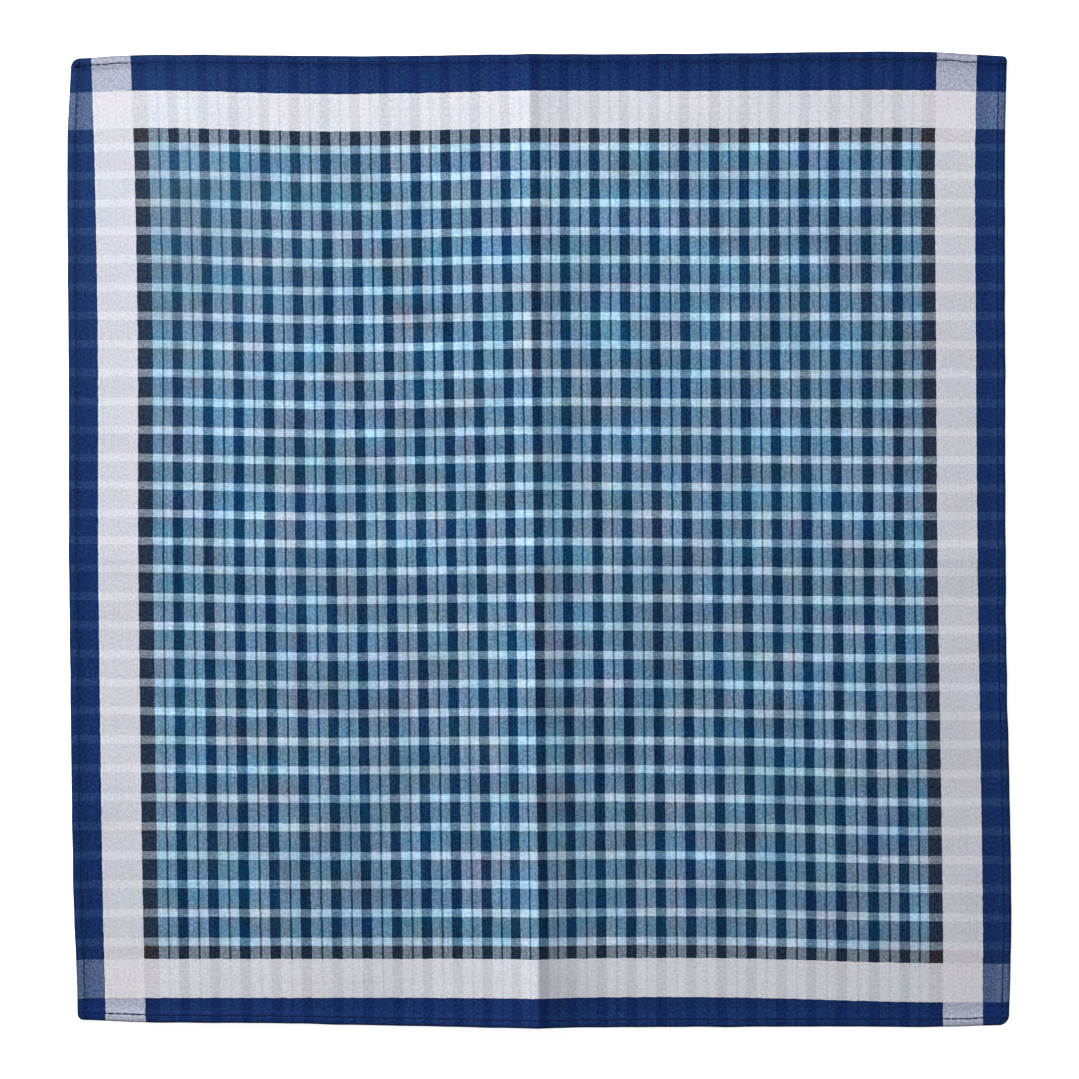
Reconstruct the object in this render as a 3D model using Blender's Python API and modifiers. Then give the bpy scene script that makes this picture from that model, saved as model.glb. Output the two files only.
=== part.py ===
"""A checked cotton handkerchief with a narrow hem, opened out and lying flat.

It was pressed in four, so a sharp crease stands up along its middle and a weak one crosses it.
Metres, +Z up. The origin is the middle of the cloth, on the surface that it lies on.
+X runs across the warp and +Y along it. The hem is turned from the cloth, so all is one solid.
"""

import math
from collections import namedtuple

import bpy

# Driving dimensions
CLOTH_WIDTH = 0.431
CLOTH_HEIGHT = 0.447
LAYER_THICKNESS = 0.0010
HEM_THICKNESS = 0.0016
HEM_WIDTH = 0.0040
HEM_SHOULDER = 0.0013
CREASE_FROM_LEFT = 0.2125
CROSS_CREASE_FROM_BOTTOM = 0.2145

# The sides as the cloth lies: how far each edge is outside the true rectangle
Side = namedtuple("Side", "up left right")
SIDES = (
    Side(0.00, -0.0034, 0.0000),
    Side(0.05, -0.0027, 0.0005),
    Side(0.11, -0.0014, 0.0014),
    Side(0.23, -0.0005, 0.0005),
    Side(0.36, 0.0000, -0.0009),
    Side(0.66, 0.0009, -0.0014),
    Side(0.91, 0.0014, -0.0018),
    Side(1.00, 0.0000, -0.0008),
)
End = namedtuple("End", "across top bottom")
ENDS = (
    End(0.00, -0.0022, -0.0030),
    End(0.08, -0.0006, -0.0025),
    End(0.20, -0.0010, -0.0016),
    End(0.33, -0.0011, -0.0002),
    End(0.46, -0.0005, 0.0006),
    End(0.65, -0.0002, 0.0003),
    End(0.84, 0.0008, 0.0003),
    End(0.92, 0.0007, 0.0007),
    End(1.00, -0.0010, -0.0006),
)
Corner = namedtuple("Corner", "right top radius")
CORNERS = (
    Corner(False, True, 0.0041),
    Corner(True, True, 0.0020),
    Corner(True, False, 0.0048),
    Corner(False, False, 0.0026),
)

# The long crease: where it runs, how high it stands and how far its sides run out
Crease = namedtuple("Crease", "up place height left_reach right_reach")
LONG_CREASE = (
    Crease(0.00, -0.0005, 0.0048, 0.022, 0.0130),
    Crease(0.25, -0.0014, 0.0049, 0.021, 0.0130),
    Crease(0.42, -0.0022, 0.0046, 0.020, 0.0125),
    Crease(0.52, -0.0027, 0.0034, 0.020, 0.0120),
    Crease(0.75, -0.0037, 0.0029, 0.020, 0.0120),
    Crease(1.00, -0.0047, 0.0021, 0.020, 0.0120),
)
CREASE_ROUNDING = 0.0010
CROSS_CREASE_HEIGHT = 0.0008
CROSS_CREASE_REACH = 0.018
LIES_FLAT_BELOW = 0.04

# Places where the cloth doesn't quite lie down
Swell = namedtuple("Swell", "across up radius height")
SWELLS = (
    Swell(0.45, 0.00, 0.050, 0.0010),
    Swell(0.22, 0.62, 0.075, 0.0006),
    Swell(0.77, 0.30, 0.080, 0.0007),
    Swell(0.82, 0.78, 0.060, 0.0005),
)

# How close the lines of the cloth's net lie
PLAIN_STEP = 0.0165
CREASE_LINES = (0.0012, 0.0030, 0.0060, 0.0110, 0.0190, 0.0310)
CROSS_CREASE_LINES = (0.0040, 0.0110, 0.0220)
HEM_LINES = (0.0, HEM_SHOULDER, HEM_WIDTH - HEM_SHOULDER, HEM_WIDTH, HEM_WIDTH + HEM_SHOULDER)

CLOTH_BLUE = (0.125, 0.215, 0.330, 1.0)
CLOTH_ROUGHNESS = 0.9
SHARP_OVER = math.radians(40)


def clear_scene():
    for thing in list(bpy.data.objects):
        bpy.data.objects.remove(thing, do_unlink=True)


def cloth_material():
    material = bpy.data.materials.new("checked cotton")
    material.use_nodes = True
    shader = material.node_tree.nodes["Principled BSDF"]
    shader.inputs["Base Color"].default_value = CLOTH_BLUE
    shader.inputs["Roughness"].default_value = CLOTH_ROUGHNESS
    shader.inputs["Metallic"].default_value = 0.0
    return material


def read_off(table, column, share):
    """A table's column at a share from 0 to 1, on a smooth curve through its rows."""
    shares = [row[0] for row in table]
    values = [getattr(row, column) for row in table]
    last = len(table) - 1
    after = next((i for i in range(1, last) if share <= shares[i]), last)
    before = after - 1
    slopes = []
    for row in (before, after):
        low, high = max(row - 1, 0), min(row + 1, last)
        slopes.append((values[high] - values[low]) / (shares[high] - shares[low]))
    span = shares[after] - shares[before]
    part = (share - shares[before]) / span
    return (
        (2 * part**3 - 3 * part**2 + 1) * values[before]
        + (part**3 - 2 * part**2 + part) * span * slopes[0]
        + (3 * part**2 - 2 * part**3) * values[after]
        + (part**3 - part**2) * span * slopes[1]
    )


def through(position, middle, full, places):
    """A position on the cut cloth, taken to where it lies between three known places."""
    low, centre, high = places
    if position <= middle:
        return low + (centre - low) * position / middle
    return centre + (high - centre) * (position - middle) / (full - middle)


def rounded_corners(across, up):
    """A point of the cut cloth, with each corner drawn in to its own radius."""
    for corner in CORNERS:
        inner_x = CLOTH_WIDTH - corner.radius if corner.right else corner.radius
        inner_y = CLOTH_HEIGHT - corner.radius if corner.top else corner.radius
        share_x = (across - inner_x) / corner.radius * (1 if corner.right else -1)
        share_y = (up - inner_y) / corner.radius * (1 if corner.top else -1)
        if share_x > 0 and share_y > 0:
            return (
                inner_x + (across - inner_x) * math.sqrt(1 - share_y**2 / 2),
                inner_y + (up - inner_y) * math.sqrt(1 - share_x**2 / 2),
            )
    return across, up


def run_out(distance, reach):
    """A crease's height at a distance from its top, as a share that ends at nothing."""
    rounded = math.hypot(distance, CREASE_ROUNDING) - CREASE_ROUNDING
    share = math.exp(-rounded / reach)
    return max(0.0, share - LIES_FLAT_BELOW) / (1 - LIES_FLAT_BELOW)


def height_of_cloth(x, y, across, up):
    """How far the cloth's underside stands off the surface."""
    share_across, share_up = across / CLOTH_WIDTH, up / CLOTH_HEIGHT
    from_crease = x - read_off(LONG_CREASE, "place", share_up)
    side = "left_reach" if from_crease < 0 else "right_reach"
    long_crease = read_off(LONG_CREASE, "height", share_up) * run_out(
        from_crease, read_off(LONG_CREASE, side, share_up)
    )
    from_cross = y - (CROSS_CREASE_FROM_BOTTOM - CLOTH_HEIGHT / 2)
    cross_crease = CROSS_CREASE_HEIGHT * run_out(from_cross, CROSS_CREASE_REACH)
    swells = 0.0
    for swell in SWELLS:
        away = math.hypot(
            (share_across - swell.across) * CLOTH_WIDTH,
            (share_up - swell.up) * CLOTH_HEIGHT,
        )
        swells += swell.height * max(0.0, 1 - (away / swell.radius) ** 2) ** 2
    return long_crease + cross_crease + swells


def laid(across, up):
    """Where a point of the cut cloth lies."""
    across, up = rounded_corners(across, up)
    share_across, share_up = across / CLOTH_WIDTH, up / CLOTH_HEIGHT
    half_width, half_height = CLOTH_WIDTH / 2, CLOTH_HEIGHT / 2
    x = through(
        across,
        CREASE_FROM_LEFT,
        CLOTH_WIDTH,
        (
            -half_width - read_off(SIDES, "left", share_up),
            read_off(LONG_CREASE, "place", share_up),
            half_width + read_off(SIDES, "right", share_up),
        ),
    )
    y = through(
        up,
        CROSS_CREASE_FROM_BOTTOM,
        CLOTH_HEIGHT,
        (
            -half_height - read_off(ENDS, "bottom", share_across),
            CROSS_CREASE_FROM_BOTTOM - half_height,
            half_height + read_off(ENDS, "top", share_across),
        ),
    )
    return x, y, height_of_cloth(x, y, across, up)


def spaced(start, end):
    """Positions between start and end, without them, no more than a plain step apart."""
    count = math.ceil((end - start) / PLAIN_STEP)
    return [start + (end - start) * i / count for i in range(1, count)]


def net_lines(full, crease, beside):
    """Where the net's lines cross one side of the cut cloth: close at hems and crease."""
    low_hem = list(HEM_LINES)
    high_hem = [full - distance for distance in reversed(HEM_LINES)]
    low_side = [crease - distance for distance in reversed(beside)]
    high_side = [crease + distance for distance in beside]
    return (
        low_hem
        + spaced(low_hem[-1], low_side[0])
        + low_side
        + [crease]
        + high_side
        + spaced(high_side[-1], high_hem[0])
        + high_hem
    )


def thickness_at(across, up):
    """One layer inside, the hem's turned layers round the edge, thinner at its fold."""
    inward = min(across, CLOTH_WIDTH - across, up, CLOTH_HEIGHT - up)
    on_hem = HEM_SHOULDER / 2 < inward < HEM_WIDTH - HEM_SHOULDER / 2
    return HEM_THICKNESS if on_hem else LAYER_THICKNESS


def make_cloth(collection):
    columns = net_lines(CLOTH_WIDTH, CREASE_FROM_LEFT, CREASE_LINES)
    rows = net_lines(CLOTH_HEIGHT, CROSS_CREASE_FROM_BOTTOM, CROSS_CREASE_LINES)
    bpy.ops.mesh.primitive_grid_add(
        x_subdivisions=len(columns) - 1, y_subdivisions=len(rows) - 1, size=1.0
    )
    cloth = bpy.context.object
    cloth.name = cloth.data.name = "cloth"
    layers = cloth.vertex_groups.new(name="layers")
    for point in cloth.data.vertices:
        across = columns[round((point.co.x + 0.5) * (len(columns) - 1))]
        up = rows[round((point.co.y + 0.5) * (len(rows) - 1))]
        point.co = laid(across, up)
        layers.add([point.index], thickness_at(across, up) / HEM_THICKNESS, "REPLACE")

    build_up = cloth.modifiers.new("cloth thickness", "SOLIDIFY")
    build_up.thickness = HEM_THICKNESS
    build_up.vertex_group = layers.name
    build_up.offset = 1.0
    build_up.use_rim = True

    cloth.data.materials.append(cloth_material())
    cloth.data.shade_smooth()
    cloth.data.set_sharp_from_angle(angle=SHARP_OVER)
    for home in list(cloth.users_collection):
        home.objects.unlink(cloth)
    collection.objects.link(cloth)
    return cloth


def main():
    clear_scene()
    handkerchief = bpy.data.collections.new("handkerchief")
    bpy.context.scene.collection.children.link(handkerchief)
    make_cloth(handkerchief)


main()
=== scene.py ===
# %% [markdown]
# # A checked cotton handkerchief, opened out
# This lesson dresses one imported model: a men's handkerchief that lies flat, with the creases of
# its folds still in it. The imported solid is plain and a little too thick. Here it gets the real
# cloth's thinness, a turned and stitched hem, and a weave whose yarns cross as a loom lays them.

# %% Load the frame that everything is built in
import math
from collections import namedtuple

import bpy
import numpy as np
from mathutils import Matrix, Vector, noise


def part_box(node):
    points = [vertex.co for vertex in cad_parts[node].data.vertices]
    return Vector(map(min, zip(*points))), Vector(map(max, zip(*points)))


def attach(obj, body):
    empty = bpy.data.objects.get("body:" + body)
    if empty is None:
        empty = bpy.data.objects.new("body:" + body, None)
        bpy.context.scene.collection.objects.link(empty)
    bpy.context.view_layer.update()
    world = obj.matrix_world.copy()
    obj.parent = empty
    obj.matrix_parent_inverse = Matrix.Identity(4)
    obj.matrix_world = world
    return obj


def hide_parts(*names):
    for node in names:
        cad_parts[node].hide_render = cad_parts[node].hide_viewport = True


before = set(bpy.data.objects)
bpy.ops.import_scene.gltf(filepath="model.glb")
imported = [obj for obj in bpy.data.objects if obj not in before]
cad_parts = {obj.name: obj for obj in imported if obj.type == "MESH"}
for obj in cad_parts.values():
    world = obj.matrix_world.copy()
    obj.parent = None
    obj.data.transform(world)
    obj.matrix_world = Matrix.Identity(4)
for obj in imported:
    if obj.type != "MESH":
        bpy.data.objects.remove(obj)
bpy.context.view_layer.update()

cloth_low, cloth_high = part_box("cloth")
print("the packed cloth reaches from", tuple(cloth_low), "to", tuple(cloth_high))

# %% [markdown]
# ## The size of the cloth
# A woven square is never quite square. The two tables below say how far each edge lies outside
# the true rectangle, in metres, at a few places along it. A smooth curve through the rows does
# the rest, so that a few honest numbers draw all four edges.

# %% Driving dimensions and the uneven edges
MM_PER_METRE = 1000
CLOTH_WIDTH = 0.431
CLOTH_HEIGHT = 0.447
CREASE_FROM_LEFT = 0.2125
CROSS_CREASE_FROM_BOTTOM = 0.2145

Side = namedtuple("Side", "up left right")
SIDES = (
    Side(0.00, -0.0032, 0.0004),
    Side(0.05, -0.0026, 0.0010),
    Side(0.11, -0.0014, 0.0015),
    Side(0.23, -0.0004, 0.0008),
    Side(0.36, 0.0003, -0.0006),
    Side(0.50, 0.0009, -0.0012),
    Side(0.66, 0.0010, -0.0013),
    Side(0.91, 0.0016, -0.0014),
    Side(1.00, -0.0003, -0.0005),
)
End = namedtuple("End", "across top bottom")
ENDS = (
    End(0.00, -0.0024, -0.0028),
    End(0.08, -0.0006, -0.0014),
    End(0.20, -0.0008, -0.0011),
    End(0.33, -0.0012, 0.0000),
    End(0.46, -0.0005, 0.0007),
    End(0.65, -0.0001, 0.0007),
    End(0.84, 0.0008, 0.0005),
    End(0.92, 0.0007, 0.0007),
    End(1.00, -0.0014, -0.0004),
)
Corner = namedtuple("Corner", "right top radius")
CORNERS = (
    Corner(False, True, 0.0041),
    Corner(True, True, 0.0020),
    Corner(True, False, 0.0048),
    Corner(False, False, 0.0026),
)


def read_off(table, column, share):
    """A table's column at shares from 0 to 1, on a smooth curve through its rows."""
    shares = np.array([row[0] for row in table])
    values = np.array([getattr(row, column) for row in table])
    rows = np.arange(len(table))
    low, high = np.maximum(rows - 1, 0), np.minimum(rows + 1, len(table) - 1)
    slopes = (values[high] - values[low]) / (shares[high] - shares[low])
    after = np.clip(np.searchsorted(shares, share), 1, len(table) - 1)
    before = after - 1
    span = shares[after] - shares[before]
    part = (share - shares[before]) / span
    return (
        (2 * part**3 - 3 * part**2 + 1) * values[before]
        + (part**3 - 2 * part**2 + part) * span * slopes[before]
        + (3 * part**2 - 2 * part**3) * values[after]
        + (part**3 - part**2) * span * slopes[after]
    )


print("the edges are read from", len(SIDES), "rows up the sides and", len(ENDS), "across the ends")

# %% [markdown]
# ## The creases
# The cloth was folded in four and pressed. Opened out, its first fold stands up as a ridge that
# is sharp at its top and runs out to each side, and the second is hardly there. A ridge like
# this is a falling exponential with its tip rounded off: two numbers, a height and a reach,
# describe a side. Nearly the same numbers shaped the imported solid, which the thin cloth follows.

# %% Heights of the creases and of the places that don't lie down
Crease = namedtuple("Crease", "up place height left_reach right_reach")
LONG_CREASE = (
    Crease(0.00, -0.0005, 0.0053, 0.020, 0.0143),
    Crease(0.25, -0.0014, 0.0053, 0.019, 0.0140),
    Crease(0.42, -0.0022, 0.0048, 0.019, 0.0130),
    Crease(0.52, -0.0027, 0.0034, 0.020, 0.0120),
    Crease(0.75, -0.0037, 0.0029, 0.020, 0.0120),
    Crease(1.00, -0.0047, 0.0021, 0.020, 0.0120),
)
CREASE_ROUNDING = 0.0008
CROSS_CREASE_HEIGHT = 0.0008
CROSS_CREASE_REACH = 0.018
LIES_FLAT_BELOW = 0.04

Swell = namedtuple("Swell", "across up radius height")
SWELLS = (
    Swell(0.45, 0.00, 0.050, 0.0010),
    Swell(0.22, 0.62, 0.075, 0.0006),
    Swell(0.77, 0.30, 0.080, 0.0007),
    Swell(0.82, 0.78, 0.060, 0.0005),
)


def run_out(distance, reach):
    """A crease's height at a distance from its top, as a share that ends at nothing."""
    rounded = np.hypot(distance, CREASE_ROUNDING) - CREASE_ROUNDING
    share = np.exp(-rounded / reach)
    return np.maximum(0.0, share - LIES_FLAT_BELOW) / (1 - LIES_FLAT_BELOW)


def fold_height(x, y, across, up):
    """How far the folds lift the underside off the surface."""
    share_across, share_up = across / CLOTH_WIDTH, up / CLOTH_HEIGHT
    from_crease = x - read_off(LONG_CREASE, "place", share_up)
    reach = np.where(
        from_crease < 0,
        read_off(LONG_CREASE, "left_reach", share_up),
        read_off(LONG_CREASE, "right_reach", share_up),
    )
    height = read_off(LONG_CREASE, "height", share_up) * run_out(from_crease, reach)
    from_cross = y - (CROSS_CREASE_FROM_BOTTOM - CLOTH_HEIGHT / 2)
    height = height + CROSS_CREASE_HEIGHT * run_out(from_cross, CROSS_CREASE_REACH)
    for swell in SWELLS:
        away = np.hypot(
            (share_across - swell.across) * CLOTH_WIDTH,
            (share_up - swell.up) * CLOTH_HEIGHT,
        )
        height = height + swell.height * np.maximum(0.0, 1 - (away / swell.radius) ** 2) ** 2
    return height


print("the crease stands", LONG_CREASE[0].height * MM_PER_METRE, "mm at the bottom edge")

# %% [markdown]
# ## The hem
# The edge of the cloth is turned under twice, 4 mm wide, and stitched near its inner fold. Cut
# through, that is a small loaf: a round outer fold, three flat layers, a groove where the
# stitches pull, and then one layer that comes down to the table. The table below is that cut,
# read inwards from the edge. On the back the three layers end in a step.

# %% The hem's section and the cloth's thickness
Section = namedtuple("Section", "inward lift thickness")
HEM_SECTION = (
    Section(0.00000, 0.00042, 0.00022),
    Section(0.00012, 0.00020, 0.00066),
    Section(0.00035, 0.00005, 0.00096),
    Section(0.00080, 0.00000, 0.00105),
    Section(0.00200, 0.00000, 0.00108),
    Section(0.00290, 0.00000, 0.00102),
    Section(0.00335, 0.00000, 0.00088),
    Section(0.00360, 0.00004, 0.00078),
    Section(0.00385, 0.00000, 0.00086),
    Section(0.00410, 0.00000, 0.00090),
    Section(0.00430, 0.00042, 0.00044),
    Section(0.00520, 0.00026, 0.00037),
    Section(0.00650, 0.00009, 0.00036),
    Section(0.00850, 0.00000, 0.00036),
)
STITCH_INSET = 0.0036
HEM_WIDTH = 0.0041
CORNER_BULK = 0.0006
CORNER_BULK_ENDS = 1.5


def hem_section(inward):
    """The underside's lift and the thickness at a distance inwards from the edge."""
    distances = [row.inward for row in HEM_SECTION]
    lift = np.interp(inward, distances, [row.lift for row in HEM_SECTION])
    thickness = np.interp(inward, distances, [row.thickness for row in HEM_SECTION])
    return lift, thickness


hem_in_mm = [round(row.thickness * MM_PER_METRE, 2) for row in HEM_SECTION]
print("one layer is", hem_in_mm[-1], "mm thick and the hem", max(hem_in_mm), "mm")

# %% [markdown]
# ## Laying the cloth down
# A point of the cut cloth is known by its distance across from the left edge and up from the
# bottom one. `laid` takes it to the table: through the uneven edges, round the corners, over the
# creases. Perlin noise adds what no table should spell out, the cockling of washed cotton and
# the small puckers along a machine-sewn hem. It has no seed to forget, so every run agrees.

# %% From the cut cloth to the table
Cockle = namedtuple("Cockle", "spacing height layer")
COCKLES = (
    Cockle(0.046, 0.00017, 3.7),
    Cockle(0.017, 0.00005, 8.7),
    Cockle(0.0075, 0.00002, 13.7),
)
PUCKER_SPACING = 0.0085
PUCKER_HEIGHT = 0.00016
PUCKER_REACH = 0.009
PUCKER_LAYER = 21.3
EDGE_WANDER = 0.00022
EDGE_WANDER_SPACING = 0.014
FIRST_EDGE_LAYER = 40


def perlin(x, y, layer):
    """Blender's noise at each pair of values, on a layer of its own."""
    flat = [noise.noise(Vector((a, b, layer))) for a, b in zip(x.ravel(), y.ravel())]
    return np.array(flat).reshape(x.shape)


def through(position, middle, full, places):
    """Positions on the cut cloth, taken to where they lie between three known places."""
    low, centre, high = places
    return np.where(
        position <= middle,
        low + (centre - low) * position / middle,
        centre + (high - centre) * (position - middle) / (full - middle),
    )


def rounded_corners(across, up):
    """Points of the cut cloth, with each corner drawn in to its own radius."""
    across, up = across.copy(), up.copy()
    for corner in CORNERS:
        inner_x = CLOTH_WIDTH - corner.radius if corner.right else corner.radius
        inner_y = CLOTH_HEIGHT - corner.radius if corner.top else corner.radius
        share_x = (across - inner_x) / corner.radius * (1 if corner.right else -1)
        share_y = (up - inner_y) / corner.radius * (1 if corner.top else -1)
        here = (share_x > 0) & (share_y > 0)
        across[here] = (inner_x + (across - inner_x) * np.sqrt(1 - share_y**2 / 2 * here))[here]
        up[here] = (inner_y + (up - inner_y) * np.sqrt(1 - share_x**2 / 2 * here))[here]
    return across, up


def cockling(x, y, inward):
    """Soft waves all over, and shorter ones where the hem's stitches gather the edge."""
    waves = np.zeros_like(x)
    for cockle in COCKLES:
        rise = perlin(x / cockle.spacing, y / cockle.spacing, cockle.layer)
        waves += cockle.height * (1 + rise)
    along = np.where(np.abs(x) * CLOTH_HEIGHT > np.abs(y) * CLOTH_WIDTH, y, x)
    gather = perlin(along / PUCKER_SPACING, inward / PUCKER_REACH, PUCKER_LAYER)
    return waves + PUCKER_HEIGHT * np.maximum(0, gather) * np.exp(-inward / PUCKER_REACH)


def laid(across, up):
    """Where points of the cut cloth lie: x and y, and the heights of both of its faces."""
    inward = np.minimum.reduce([across, CLOTH_WIDTH - across, up, CLOTH_HEIGHT - up])
    both_hems = np.maximum(
        np.minimum(across, CLOTH_WIDTH - across), np.minimum(up, CLOTH_HEIGHT - up)
    )
    lift, thickness = hem_section(inward)
    across, up = rounded_corners(across, up)
    share_across, share_up = across / CLOTH_WIDTH, up / CLOTH_HEIGHT
    half_width, half_height = CLOTH_WIDTH / 2, CLOTH_HEIGHT / 2
    wander = [
        EDGE_WANDER * perlin(p / EDGE_WANDER_SPACING, 0 * p, layer)
        for layer, p in enumerate((up, up, across, across), start=FIRST_EDGE_LAYER)
    ]
    x = through(
        across,
        CREASE_FROM_LEFT,
        CLOTH_WIDTH,
        (
            -half_width - read_off(SIDES, "left", share_up) + wander[0],
            read_off(LONG_CREASE, "place", share_up),
            half_width + read_off(SIDES, "right", share_up) + wander[1],
        ),
    )
    y = through(
        up,
        CROSS_CREASE_FROM_BOTTOM,
        CLOTH_HEIGHT,
        (
            -half_height - read_off(ENDS, "bottom", share_across) + wander[2],
            CROSS_CREASE_FROM_BOTTOM - half_height,
            half_height + read_off(ENDS, "top", share_across) + wander[3],
        ),
    )
    under = fold_height(x, y, across, up) + cockling(x, y, inward) + lift
    corner_bulk = CORNER_BULK * np.clip(CORNER_BULK_ENDS - both_hems / HEM_WIDTH, 0, 1)
    return x, y, under, under + thickness + corner_bulk


# %% [markdown]
# ## The net
# A sheet this thin is two faces and a rim. Its net of lines is close where the shape turns, at
# the hem and beside the crease, and 3 mm apart elsewhere, since an even net as fine as the
# crease's would need millions of squares. Both faces use the same net, so they can be joined by
# one strip round the edge.

# %% The lines of the net
PLAIN_STEP = 0.0030
CREASE_LINES = (
    0.0002, 0.0005, 0.0009, 0.0014, 0.0020, 0.0028, 0.0038, 0.0051, 0.0067, 0.0087, 0.0112
)
CROSS_CREASE_LINES = (0.0004, 0.0010, 0.0020, 0.0035)


def net_lines(full, crease, beside):
    """Where the net's lines cross the cut cloth: close at hems and crease."""
    hem = [row.inward for row in HEM_SECTION]
    plain = []
    for start, end in ((hem[-1], crease - beside[-1]), (crease + beside[-1], full - hem[-1])):
        plain.append(np.linspace(start, end, math.ceil((end - start) / PLAIN_STEP) + 1))
    before = [crease - distance for distance in reversed(beside[:-1])]
    after = [crease + distance for distance in beside[:-1]]
    far_hem = [full - distance for distance in reversed(hem[:-1])]
    return np.array([*hem[:-1], *plain[0], *before, crease, *after, *plain[1], *far_hem])


columns = net_lines(CLOTH_WIDTH, CREASE_FROM_LEFT, CREASE_LINES)
rows = net_lines(CLOTH_HEIGHT, CROSS_CREASE_FROM_BOTTOM, CROSS_CREASE_LINES)
print("the net has", len(columns), "lines across and", len(rows), "up")

# %% [markdown]
# ## Where each stripe runs
# The material below counts yarns, so every point has to know which yarns pass through it. The
# cloth isn't quite true: its warp leans, its weft sags to the left of the crease, and the
# stripes close up where the crease takes cloth in. Two short tables say where a few named
# stripes run, in millimetres from the middle, and yarn numbers are read between them. The yarn
# numbers go into a UV map named "yarns", with u for the warp and v for the weft.

# %% The loom's plan, and where its stripes lie
WARP_BORDER = {"navy": 37, "white": 54, "black": 20}
WARP_REPEAT = {"sky": 12, "thin": 3, "sky again": 11, "navy": 14}
WARP_REPEATS = 25
WARP_END_BORDER = {"black": 19, "white": 53, "navy": 39}
WEFT_BORDER = {"navy": 38, "white": 50, "black": 16}
WEFT_REPEAT = {"sky": 10, "dark": 26}
WEFT_REPEATS = 28
WEFT_END_BORDER = {"black": 18, "white": 48, "navy": 46}

warp_repeat = sum(WARP_REPEAT.values())
weft_repeat = sum(WEFT_REPEAT.values())
warp_check_start = sum(WARP_BORDER.values())
weft_check_start = sum(WEFT_BORDER.values())
warp_check_end = warp_check_start + (WARP_REPEATS + 1) * warp_repeat - WARP_REPEAT["navy"]
weft_check_end = weft_check_start + WEFT_REPEATS * weft_repeat + WEFT_REPEAT["sky"]
warp_yarns = warp_check_end + sum(WARP_END_BORDER.values())
weft_yarns = weft_check_end + sum(WEFT_END_BORDER.values())
WARP_PLAN = (WARP_BORDER, warp_check_end, WARP_END_BORDER)
WEFT_PLAN = (WEFT_BORDER, weft_check_end, WEFT_END_BORDER)

# Middles of named navy warp stripes, in mm right of the middle, by share of the height
WarpRun = namedtuple("WarpRun", "up s1 s6 s11 s12 s13 s14 s23 s24 s25")
WARP_RUN = (
    WarpRun(0.000, -162.6, -92.2, -23.4, -10.4, 2.3, 14.9, 138.9, 153.9, 168.0),
    WarpRun(0.103, -163.8, -93.2, -24.0, -10.9, 1.9, 14.6, 138.8, 153.8, 168.0),
    WarpRun(0.284, -165.1, -94.5, -25.3, -11.9, 0.6, 13.7, 137.8, 152.7, 166.9),
    WarpRun(0.484, -166.1, -95.7, -26.6, -13.1, -0.3, 12.9, 136.8, 151.4, 165.5),
    WarpRun(0.715, -166.4, -96.9, -28.3, -14.4, -1.4, 12.0, 135.8, 150.5, 164.8),
    WarpRun(0.889, -167.9, -98.4, -29.4, -15.7, -2.0, 11.4, 135.3, 150.1, 164.4),
    WarpRun(1.000, -169.7, -99.4, -30.0, -16.2, -2.5, 11.0, 135.8, 150.8, 165.2),
)
# Middles of named sky weft rows, in mm above the middle, by share of the width
WeftRun = namedtuple("WeftRun", "across r29 r22 r16 r11 r6 r1")
WEFT_RUN = (
    WeftRun(0.000, -185.4, -91.7, -12.9, 50.3, 116.2, 179.8),
    WeftRun(0.093, -185.0, -92.1, -13.4, 50.3, 116.0, 180.8),
    WeftRun(0.276, -185.0, -93.0, -14.8, 48.7, 114.2, 179.2),
    WeftRun(0.500, -184.8, -92.2, -13.7, 50.1, 115.9, 180.6),
    WeftRun(0.693, -184.7, -92.9, -14.3, 49.7, 115.6, 180.6),
    WeftRun(0.884, -186.8, -94.4, -15.0, 49.3, 115.9, 181.0),
    WeftRun(1.000, -187.2, -94.2, -14.9, 49.4, 116.2, 180.1),
)
# Distances in mm from the first named stripe back to where white and black start, and from the
# last one on to where the far border's white and navy start
Steps = namedtuple("Steps", "white black far_white far_navy")
WARP_STEPS = Steps(36.7, 18.4, 17.5, 35.9)
WEFT_STEPS = Steps(25.8, 7.9, 8.5, 25.6)


def warp_number(stripe):
    """The yarn in the middle of a navy stripe, the first being stripe 1."""
    return warp_check_start + stripe * warp_repeat - WARP_REPEAT["navy"] / 2


def weft_number(row):
    """The yarn in the middle of a sky row. Rows are counted down from the top."""
    return weft_check_end - (row - 1) * weft_repeat - WEFT_REPEAT["sky"] / 2


def yarn_at(position, edges, share, run, number_of, steps, plan):
    """The yarn under each point, between the cloth's two edges there.

    The share is how far along the yarns a point lies, where the stripes' run is read.
    """
    names = run[0]._fields[1:]
    stripes = [read_off(run, name, share) / MM_PER_METRE for name in names]
    before = [stripes[0] - step / MM_PER_METRE for step in (steps.white, steps.black)]
    after = [stripes[-1] + step / MM_PER_METRE for step in (steps.far_white, steps.far_navy)]
    border, check_end, far_border = plan
    yarns = check_end + sum(far_border.values())
    numbers = [0, border["navy"], border["navy"] + border["white"]]
    numbers += [number_of(int(name[1:])) for name in names]
    numbers += [check_end + far_border["black"], yarns - far_border["navy"], yarns]
    return read_between(position, [edges[0], *before, *stripes, *after, edges[1]], numbers)


def read_between(position, places, numbers):
    """Numbers read straight between known places, which differ from point to point."""
    result = np.full_like(position, numbers[0])
    for i in range(len(numbers) - 1):
        share = (position - places[i]) / (places[i + 1] - places[i])
        inside = share >= 0 if i else np.ones_like(share, bool)
        value = numbers[i] + (numbers[i + 1] - numbers[i]) * np.clip(share, 0, 1)
        result = np.where(inside, value, result)
    return result


print("the loom holds", warp_yarns, "warp yarns, and the cloth has", weft_yarns, "weft yarns")

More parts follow.
